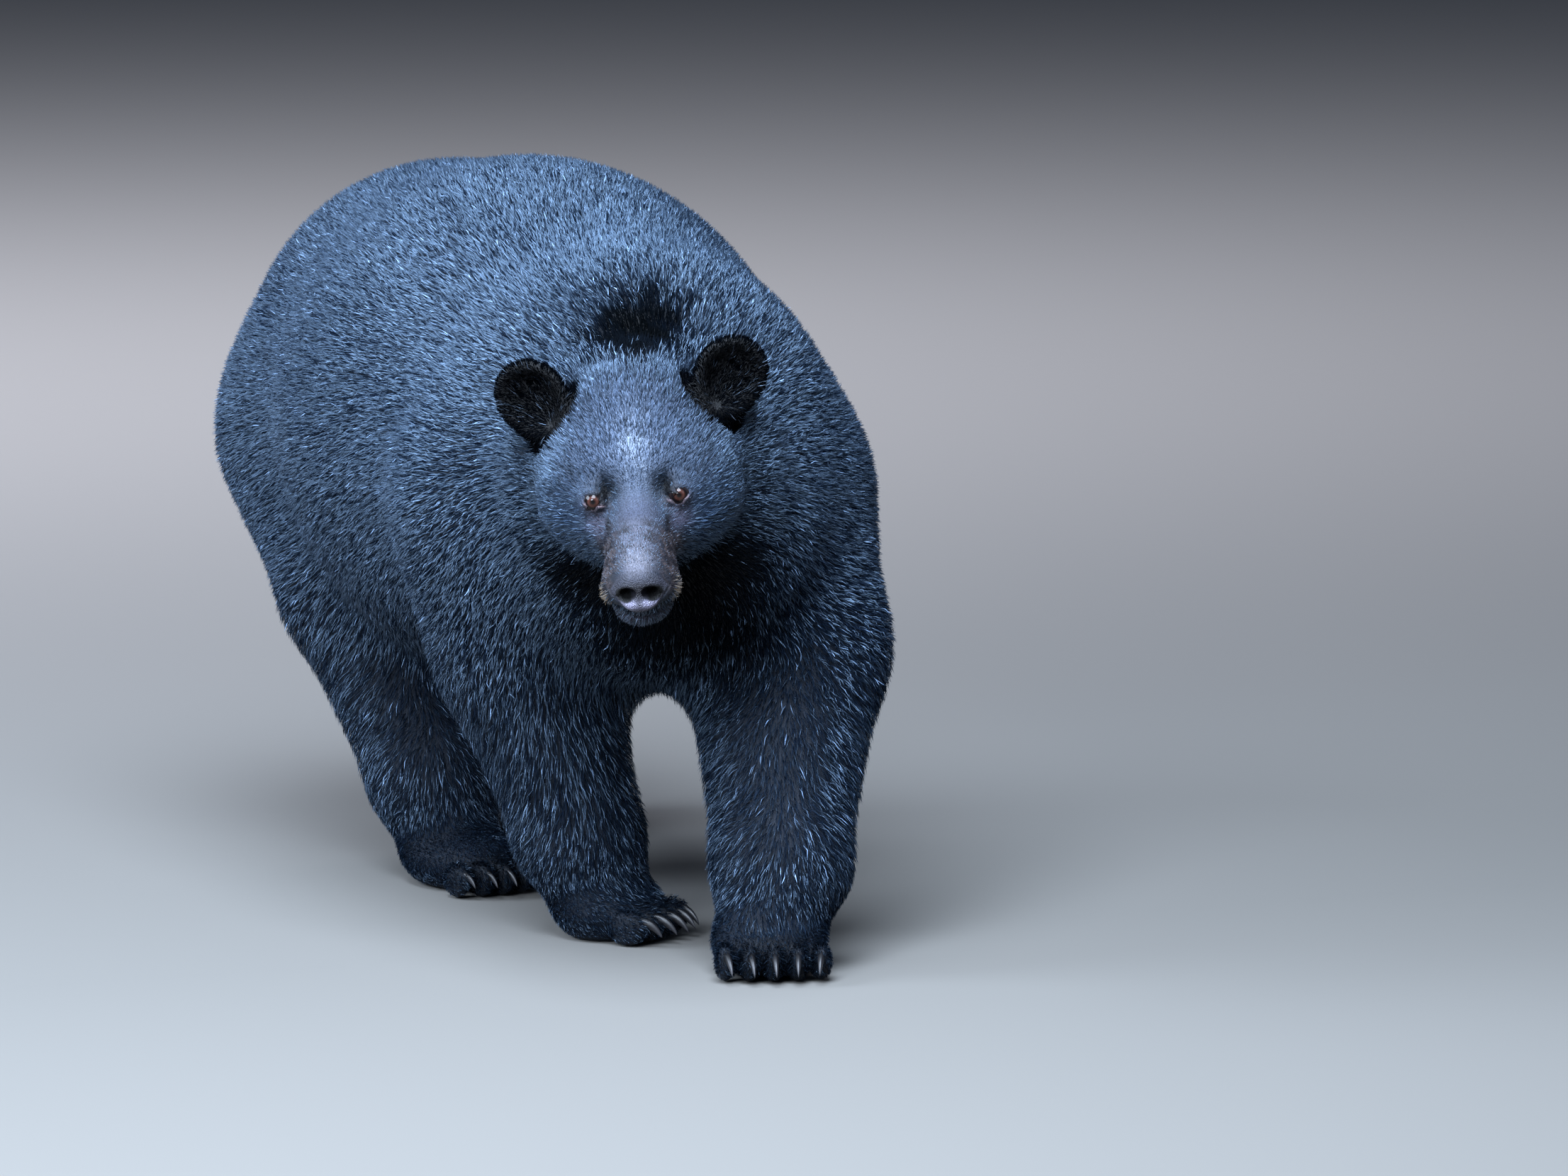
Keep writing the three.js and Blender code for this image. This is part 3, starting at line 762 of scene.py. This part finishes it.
# The nose pad is wet leather: pale on top where it takes the sky, lilac under the nostrils, and painted
# near-black inside them as shade.
pad = smooth(-pad_edge(in_head), -1, 1.5) * (in_head[:, 1] < -100)
pad_front = pad * smooth(-in_head[:, 2], 48, 66)
hide_colour = mixed(hide_colour, "#2b2b33", pad_front)
hide_colour = mixed(hide_colour, "#141318", pad * spot(in_head, (0, -146, -70), (30, 18, 10), 4))
hide_colour = mixed(hide_colour, "#34323b", pad * smooth(-in_head[:, 2], 84, 90))
hide_colour = mixed(hide_colour, "#737082", pad * spot(mirrored(in_head), (12, -140, -84), (11.5, 24, 5), 3))
hide_colour = mixed(hide_colour, "#1c1a21", 0.5 * pad * spot(in_head, (0, -140, -79), (5, 30, 7), 3))
# The insides of the nostrils are painted near-black, as shade in the holes.
nostrils = [ellipsoid((s * 16, -142, -74), (12.5, 28, 8.8), (0, s * 14, 0)) for s in SIDES]
nostril = pad * smooth(1.0 - np.minimum(*[mouth(in_head) for mouth in nostrils]), 0, 2)
hide_colour = mixed(hide_colour, "#010101", nostril)
# A pale wet line along each lower lid, a dark one along the upper.
for s in SIDES:
    opening, _, v = eye_opening(in_head, s)
    by_eye = length(in_head - (s * EYE["spread"], EYE["y"], 0)) < 20
    hide_colour = mixed(hide_colour, "#060607", by_eye * smooth(4.2 - opening, 0, 1.6) * smooth(v, -1.5, 2))
    hide_colour = mixed(hide_colour, "#5a4c50", by_eye * smooth(1.8 - opening, 0, 0.8) * smooth(-v, 1.5, 4.0))
    hide_colour = mixed(hide_colour, "#1a0f10", by_eye * smooth(-0.2 - opening, 0, 0.6))
put_colours(hide_mesh, hide_colour)
lid_edge = np.minimum(*[np.abs(eye_opening(in_head, s)[0]) for s in SIDES])
wet_lids = 0.25 * smooth(1.6 - lid_edge, 0, 1)
wings = pad * smooth(-in_head[:, 2], 74, 84)
put_values(hide_mesh, "wet", np.maximum(0.35 * pad_front + 0.65 * wings, wet_lids) * (1 - nostril))
put_values(hide_mesh, "leather", pad)

middle = vertex[corner].mean(1)
sides = vertex[corner]
area = length(np.cross(sides[:, 1] - sides[:, 0], sides[:, 2] - sides[:, 0])) / 2
TUFTS = 480_000
PIECES = 8


def bare(p):
    """1 on the nose pad, the eyes' rims and the soles, where no hair grows."""
    q = head_place.into(p)
    lids = np.minimum(*[eye_opening(q, s)[0] for s in SIDES]) < 2.0
    lids &= (np.abs(q[:, 0]) < 70) & (np.abs(q[:, 2]) < 22) & (q[:, 1] < 10)
    return (pad_edge(q) < 0) & (q[:, 1] < -100) | lids | (p[:, 2] < 5)


def hair_sizes(p):
    """Depth of the coat, and length and width of a tuft, in millimetres."""
    depth = coat_depth(p)
    q = head_place.into(p)
    depth = depth + (4.5 - depth) * on_ear(q)
    low = smooth(400 - p[:, 2], 0, 160) * smooth(p[:, 2], 60, 130)
    cheek = spot(mirrored(q), (74, 6, -38), (32, 40, 30), 3)
    long = 3.0 + (0.62 + 0.73 * low) * depth + 8 * (mouth_corner(q) + cheek) + 12 * cuff(p) + 7 * beard(q)
    wide = (0.46 + 0.034 * depth) * (1 - 0.2 * low) + 0.2 * cheek
    return depth + 2.5 * mouth_corner(q) + 1.5 * beard(q), long, wide


depth, long, wide = hair_sizes(middle)
cover = 0.34 + 0.66 * smooth(depth, 2.6, 7)
# Hair thins out towards the nose pad, and is thick by the mouth, on the chin and in the ears.
in_face = head_place.into(middle)
by_pad = (in_face[:, 1] < -90) & (in_face[:, 2] > -90)
cover *= np.where(by_pad, 0.05 + 0.95 * smooth(pad_edge(in_face), 2, 22), 1)
cover += 0.8 * mouth_corner(in_face)
cover += 0.5 * beard(in_face) + 0.8 * (ear_gap(in_face) < 10)
weight = area * cover / (long * wide) * ~bare(middle)
rng = np.random.default_rng(11)
share = np.cumsum(weight) / weight.sum()
chosen = np.searchsorted(share, (np.arange(TUFTS) + rng.random(TUFTS)) / TUFTS)
mix = rng.random((TUFTS, 2))
over = mix.sum(1) > 1
mix[over] = 1 - mix[over]
mix = np.column_stack([1 - mix.sum(1), mix])
root = np.einsum("ij,ijk->ik", mix, vertex[corner[chosen]])
normal = unit(np.einsum("ij,ijk->ik", mix, vertex_normal[corner[chosen]]))
place_on_hide = np.einsum("ij,ijk->ik", mix, layout[loop[chosen]])
depth, long, wide = hair_sizes(root)
# Half the tufts, and more on back and face, are guard hair, broad and glossy; the rest is shorter fur below.
fuller = (0.15 * smooth(root[:, 2], 350, 600)
          + 0.2 * spot(head_place.into(root), (0, 60, -20), (190, 130, 110), 3))
guard = rng.random(TUFTS) < 0.45 + fuller
long *= rng.uniform(0.75, 1.2, TUFTS) * np.where(guard, 1.0, 0.85)
wide *= rng.uniform(0.7, 1.3, TUFTS) * np.where(guard, 1.25, 1.1)
wisps = (ear_gap(head_place.into(root)) < 10) & (rng.random(TUFTS) < 0.03)  # long grey hairs in the ears
long[wisps] *= 2.6
lie = combed(root, normal)
shag = smooth(430 - root[:, 2], 0, 200)
lie = unit(lie + (0.12 + 0.019 * depth * (1 - 0.6 * shag))[:, None] * rng.normal(size=(TUFTS, 3)))
lie = unit(lie - normal * np.einsum("ij,ij->i", lie, normal)[:, None])

# Tufts that start close together lean to one tip, in locks.
tips = root + lie * long[:, None]
lock_size = 2.0 + (0.12 + 0.25 * shag) * depth
lock_at = (root + 5 * waves(root, 30, 8)) / lock_size[:, None]
lock_key = np.floor(lock_at).astype(int) + 4096
_, lock = np.unique((lock_key[:, 0] * 8192 + lock_key[:, 1]) * 8192 + lock_key[:, 2], return_inverse=True)
members = np.bincount(lock)
lock_tip = np.stack([np.bincount(lock, tips[:, i]) / members for i in range(3)], 1)
lean = (lock_tip[lock] - tips) * (np.where(guard, 0.2, 0.1) + 0.2 * shag)[:, None]

# The tips are brought to the outer form, a little over or under it.
over_toes = cuff(root)
lift = depth * rng.uniform(0.75, 1.1, TUFTS) * (1 + 0.7 * over_toes)
ends = tips + lean + normal * lift[:, None]
settle = -form_field(ends) - (rng.uniform(-0.15, 0.32, TUFTS) + np.where(guard, 0, 0.2)) * depth
settle = np.clip(settle, -0.9 * depth, 0.4 * depth)
tan = mouth_corner(head_place.into(root))
settle *= (depth > 2.4) * (1 - tan) * (1 - over_toes)

ROWS = ((0.0, 0.85), (0.48, 1.0), (1.0, 0.0))  # how far along, and how wide there
across = unit(np.cross(lie, normal))
roll = (rng.normal(0, 0.6, TUFTS) * (1 + 0.6 * shag))[:, None]
across = across * np.cos(roll) + normal * np.sin(roll)
curl = rng.normal(0, 0.3, TUFTS) * (1 - 0.5 * shag)
points, along_at, side_at = [], [], []
for t, w in ROWS:
    at = root - normal * 1.2 + lie * (long * t)[:, None] + lean * t * t
    at = at + normal * (lift * (1 - (1 - t) ** 1.8) + settle * t * t)[:, None]
    at = at + across * (curl * long * t * (1 - t))[:, None]
    at[:, 2] = np.maximum(at[:, 2], 1.0)
    for side in (-0.5, 0.5) if w else (0,):
        points.append(at + across * (wide * w * side)[:, None])
        along_at.append(t)
        side_at.append(side + 0.5)
points = to_row(np.stack(points, 1))
BLADE = np.array([(0, 1, 3), (0, 3, 2), (2, 3, 4)])
tone = rng.random(TUFTS) * (0.8 + 0.2 * shag)
hair_colour = markings_and_painted_light(root)
# Tan hair by the corners of the mouth, thinning out among the dark.
tan_share = 1.3 * tan * (tan > rng.uniform(0.1, 1.1, TUFTS)) * rng.uniform(0.5, 1.0, TUFTS)
hair_colour = mixed(hair_colour, "#746450", tan_share)
# A third of the grey hair of the face is dark. One hair in fifty on the body is painted pale as a glint.
grey = smooth(hair_colour.max(1), 0.02, 0.05) * (tan < 0.1)
hair_colour = hair_colour * (1 + grey * np.where(rng.random(TUFTS) < 0.33, -0.8, 0.25))[:, None]
painted_glint_hair = (depth > 8) * (rng.random(TUFTS) < 0.02) * (hair_colour.max(1) > 0.004)
hair_colour = mixed(hair_colour, "#586a82", painted_glint_hair)
hair_colour[wisps] = linear("#2a2e36")[:3]
PATCH = 0.003
# Matt fur lies in loose patches over the body, and on nape, chest and the far shoulder.
matt = 0.1 * waves(root, 240, 9)[:, 0] + 0.35 * spot(head_place.into(root), (0, 140, 120), (130, 62, 60), 3)
matt += (0.3 * spot(root, (160, -60, 330), (120, 200, 230), 4)
         + 0.4 * spot(root, (-40, -260, 400), (150, 200, 150), 3))
mottled = spot(mirrored(head_place.into(root)), (20, -74, -46), (40, 66, 44), 4)
dull = (hair_colour.max(1) < rng.uniform(0.002, 0.01, TUFTS) * (1 + 2 * mottled)) | (rng.random(TUFTS) < matt)
dull |= ~guard & (hair_colour.max(1) < 0.02)

guard_hair, hair_shader = new_material("guard_hair")
# Black guard hair: smooth scales over a black core, so it throws a gloss off the light above. Its gloss and
# sheen are tinted blue, a painted reflection of a blue sky.
marking_and_painted_light = node(guard_hair, "ShaderNodeAttribute", {"attribute_name": "marking_and_painted_light"})
tuft_tone = node(guard_hair, "ShaderNodeAttribute", {"attribute_name": "tone"})
tuft_along = node(guard_hair, "ShaderNodeAttribute", {"attribute_name": "along"})
gain = node(guard_hair, "ShaderNodeMapRange", Value=tuft_tone.outputs["Fac"],
            To_Min=0.2, To_Max=2.1)
# Painted shade: each tuft is darker at its root, as deep in the coat, and lighter at the tip.
root_shade_gain = node(guard_hair, "ShaderNodeMapRange", Value=tuft_along.outputs["Fac"],
                To_Min=0.5, To_Max=1.4)
both_gains = node(guard_hair, "ShaderNodeMath", {"operation": "MULTIPLY"}, _0=gain.outputs[0],
                  _1=root_shade_gain.outputs[0])
shaded = node(guard_hair, "ShaderNodeVectorMath", {"operation": "SCALE"}, _0=marking_and_painted_light.outputs["Color"],
              Scale=both_gains.outputs[0])
guard_hair.node_tree.links.new(shaded.outputs[0], hair_shader.inputs["Base Color"])
# Most hair is satin and a few hairs are mirror bright, which gives the coat its glints.
cubed = node(guard_hair, "ShaderNodeMath", {"operation": "POWER"}, _0=tuft_tone.outputs["Fac"], _1=3.0)
gloss = node(guard_hair, "ShaderNodeMapRange", Value=cubed.outputs[0],
             To_Min=0.42, To_Max=0.1)
guard_hair.node_tree.links.new(gloss.outputs[0], hair_shader.inputs["Roughness"])
hair_shader.inputs["Sheen Weight"].default_value = 0.08
hair_shader.inputs["Sheen Roughness"].default_value = 0.4
# Painted reflection: sheen and gloss are tinted sky blue.
hair_shader.inputs["Sheen Tint"].default_value = linear("#8fc0ee")
hair_shader.inputs["IOR"].default_value = 1.8
hair_shader.inputs["Specular Tint"].default_value = linear("#b4d4f6")
# Each tuft is several hairs side by side, about 0.2 mm each.
tuft_side = node(guard_hair, "ShaderNodeAttribute", {"attribute_name": "side"})
hair_at = node(guard_hair, "ShaderNodeCombineXYZ", X=tuft_side.outputs["Fac"], Y=tuft_along.outputs["Fac"],
               Z=tuft_tone.outputs["Fac"])
hair_row = node(guard_hair, "ShaderNodeMapping", Vector=hair_at.outputs[0], Scale=(5.0, 1.5, 90.0))
strands = node(guard_hair, "ShaderNodeTexNoise", Vector=hair_row.outputs[0], Scale=1.0, Detail=1.0)
hair_bump = node(guard_hair, "ShaderNodeBump", Height=strands.outputs["Fac"], Strength=0.6, Distance=0.0006)
guard_hair.node_tree.links.new(hair_bump.outputs["Normal"], hair_shader.inputs["Normal"])

underfur, underfur_shader = new_material("dull_black_fur")
# Soft matt hair, in the ears, by the eyes, on the nape and between the guard hairs: it drinks the light.
dull_colour_and_light = node(underfur, "ShaderNodeAttribute", {"attribute_name": "marking_and_painted_light"})
dull_along = node(underfur, "ShaderNodeAttribute", {"attribute_name": "along"})
# Painted shade: the underfur too is darker towards the root and lighter at the tip.
dull_root_shade_gain = node(underfur, "ShaderNodeMapRange", Value=dull_along.outputs["Fac"],
                 To_Min=0.4, To_Max=1.5)
dull_shade = node(underfur, "ShaderNodeVectorMath", {"operation": "SCALE"}, _0=dull_colour_and_light.outputs["Color"],
                  Scale=dull_root_shade_gain.outputs[0])
underfur.node_tree.links.new(dull_shade.outputs[0], underfur_shader.inputs["Base Color"])
underfur_shader.inputs["Roughness"].default_value = 0.7
underfur_shader.inputs["IOR"].default_value = 1.08
underfur_shader.inputs["Specular IOR Level"].default_value = 0.3

for piece in range(PIECES):
    mine = np.arange(piece * TUFTS // PIECES, (piece + 1) * TUFTS // PIECES)
    count = len(mine)
    mesh = bpy.data.meshes.new(f"coat_{piece + 1}")
    mesh.vertices.add(count * len(along_at))
    mesh.vertices.foreach_set("co", points[mine].astype(np.float32).ravel())
    faces = (BLADE[None] + np.arange(count)[:, None, None] * len(along_at)).reshape(-1, 3)
    mesh.loops.add(faces.size)
    mesh.loops.foreach_set("vertex_index", faces.ravel().astype(np.int32))
    mesh.polygons.add(len(faces))
    mesh.polygons.foreach_set("loop_start", np.arange(0, faces.size, 3, dtype=np.int32))
    mesh.polygons.foreach_set("material_index", np.repeat(dull[mine], len(BLADE)).astype(np.int32))
    mesh.update(calc_edges=True)
    mesh.shade_smooth()
    put_colours(mesh, np.repeat(hair_colour[mine], len(along_at), 0))
    put_values(mesh, "along", np.tile(along_at, count))
    put_values(mesh, "tone", np.repeat(tone[mine], len(along_at)))
    put_values(mesh, "side", np.tile(side_at, count))
    patch = np.column_stack([side_at, along_at]) * PATCH - PATCH / 2
    uv = (place_on_hide[mine][:, None] + patch[None]).reshape(-1, 2)[faces.ravel()]
    mesh.uv_layers.new(name="OFBake").data.foreach_set("uv", uv.astype(np.float32).ravel())
    mesh.materials.append(guard_hair)
    mesh.materials.append(underfur)
    coat = bpy.data.objects.new(f"coat_{piece + 1}", mesh)
    bpy.context.collection.objects.link(coat)
    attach(coat, "root")

hide_finish, hide_shader = new_material("black_hide")
hide_colour_and_light = node(hide_finish, "ShaderNodeAttribute", {"attribute_name": "marking_and_painted_light"})
hide_wet = node(hide_finish, "ShaderNodeAttribute", {"attribute_name": "wet"})
hide_gloss = node(hide_finish, "ShaderNodeMapRange", Value=hide_wet.outputs["Fac"],
                  To_Min=0.6, To_Max=0.26)
hide_finish.node_tree.links.new(hide_gloss.outputs[0], hide_shader.inputs["Roughness"])
hide_at_point = node(hide_finish, "ShaderNodeTexCoord")
# Short hair lying back from the nose, each lock about 1.2 mm by 5 mm.
turn = Matrix(head_turn.tolist()).to_euler()
back_from_nose = node(hide_finish, "ShaderNodeMapping", {"vector_type": "TEXTURE"},
                      Vector=hide_at_point.outputs["Object"], Rotation=turn, Scale=(1.0, 4.0, 1.0))
hair_grain = node(hide_finish, "ShaderNodeTexNoise", Vector=back_from_nose.outputs[0], Scale=800.0,
                  Detail=3.0, Roughness=0.6)
# The nose is leather in rounded pebbles 1.3 mm across.
pebbles = node(hide_finish, "ShaderNodeTexVoronoi", Vector=hide_at_point.outputs["Object"], Scale=750.0)
leather = node(hide_finish, "ShaderNodeAttribute", {"attribute_name": "leather"})
relief = node(hide_finish, "ShaderNodeMix", {"data_type": "FLOAT"}, _0=leather.outputs["Fac"],
              _2=hair_grain.outputs["Fac"], _3=pebbles.outputs["Distance"])
hide_bump = node(hide_finish, "ShaderNodeBump", Height=relief.outputs[0], Strength=0.7, Distance=0.0018)
hide_finish.node_tree.links.new(hide_bump.outputs["Normal"], hide_shader.inputs["Normal"])
hair_shade = node(hide_finish, "ShaderNodeMapRange", Value=hair_grain.outputs["Fac"], From_Min=0.3,
                  From_Max=0.7, To_Min=0.35, To_Max=1.7)
hide_shade = node(hide_finish, "ShaderNodeVectorMath", {"operation": "SCALE"}, _0=hide_colour_and_light.outputs["Color"],
                  Scale=hair_shade.outputs[0])
hide_finish.node_tree.links.new(hide_shade.outputs[0], hide_shader.inputs["Base Color"])
hide_shader.inputs["IOR"].default_value = 1.32
hide_mesh.materials.append(hide_finish)


# ---- The studio -------------------------------------------------------------------------------------------
# A plain pale floor, and a broad soft light overhead like an open sky, with weaker ones round the front. The
# last stands behind and keeps the far floor pale.

floor_mesh = bpy.data.meshes.new("studio_floor")
floor_mesh.from_pydata([(-30, -30, 0), (30, -30, 0), (30, 30, 0), (-30, 30, 0)], [], [(0, 1, 2, 3)])
floor = bpy.data.objects.new("studio_floor", floor_mesh)
bpy.context.collection.objects.link(floor)
floor_finish, floor_shader = new_material("pale_painted_floor")
floor_shader.inputs["Base Color"].default_value = linear("#63605b")
floor_shader.inputs["Roughness"].default_value = 0.9
floor.data.materials.append(floor_finish)

world = bpy.data.worlds.new("studio")
world.use_nodes = True
world.node_tree.nodes["Background"].inputs["Color"].default_value = linear("#a9c4ee")
world.node_tree.nodes["Background"].inputs["Strength"].default_value = 0.16
bpy.context.scene.world = world


def softbox(name, place, aim, size, power, colour):
    light = bpy.data.lights.new(name, "AREA")
    light.shape, light.size, light.energy = "DISK", size, power
    light.color = linear(colour)[:3]
    lamp = bpy.data.objects.new(name, light)
    bpy.context.collection.objects.link(lamp)
    lamp.location = place
    lamp.rotation_mode = "QUATERNION"
    lamp.rotation_quaternion = (Vector(aim) - Vector(place)).to_track_quat("-Z", "Y")


softbox("light_overhead", (-0.8, -2.0, 3.5), (0, -0.1, 0.5), 2.8, 700, "#d6e8ff")
softbox("light_left", (-3.8, 0.6, 2.5), (0, 0.1, 0.5), 2.4, 300, "#d6e8ff")
softbox("light_front", (-3.0, -3.9, 2.2), (0, -0.1, 0.5), 1.8, 330, "#dcebff")
softbox("light_right", (2.4, -3.4, 2.6), (0, -0.1, 0.5), 2.2, 25, "#e6ecff")
softbox("light_behind", (-1, 6, 8), (-1.5, 16, 0), 8.0, 4500, "#e6ecff")

camera_data = bpy.data.cameras.new("camera")
camera_data.sensor_width, camera_data.lens = 36, 166.9
camera = bpy.data.objects.new("camera", camera_data)
bpy.context.collection.objects.link(camera)
aim = Vector(to_row((32, -402, 457)))
turn, tip, away = math.radians(-19), math.radians(7), 8.0
back = Vector((math.sin(turn) * math.cos(tip), -math.cos(turn) * math.cos(tip), math.sin(tip)))
camera.location = aim + back * away
camera.rotation_mode = "QUATERNION"
camera.rotation_quaternion = (-back).to_track_quat("-Z", "Y")
bpy.context.scene.camera = camera
bpy.context.scene.view_settings.view_transform = "Standard"
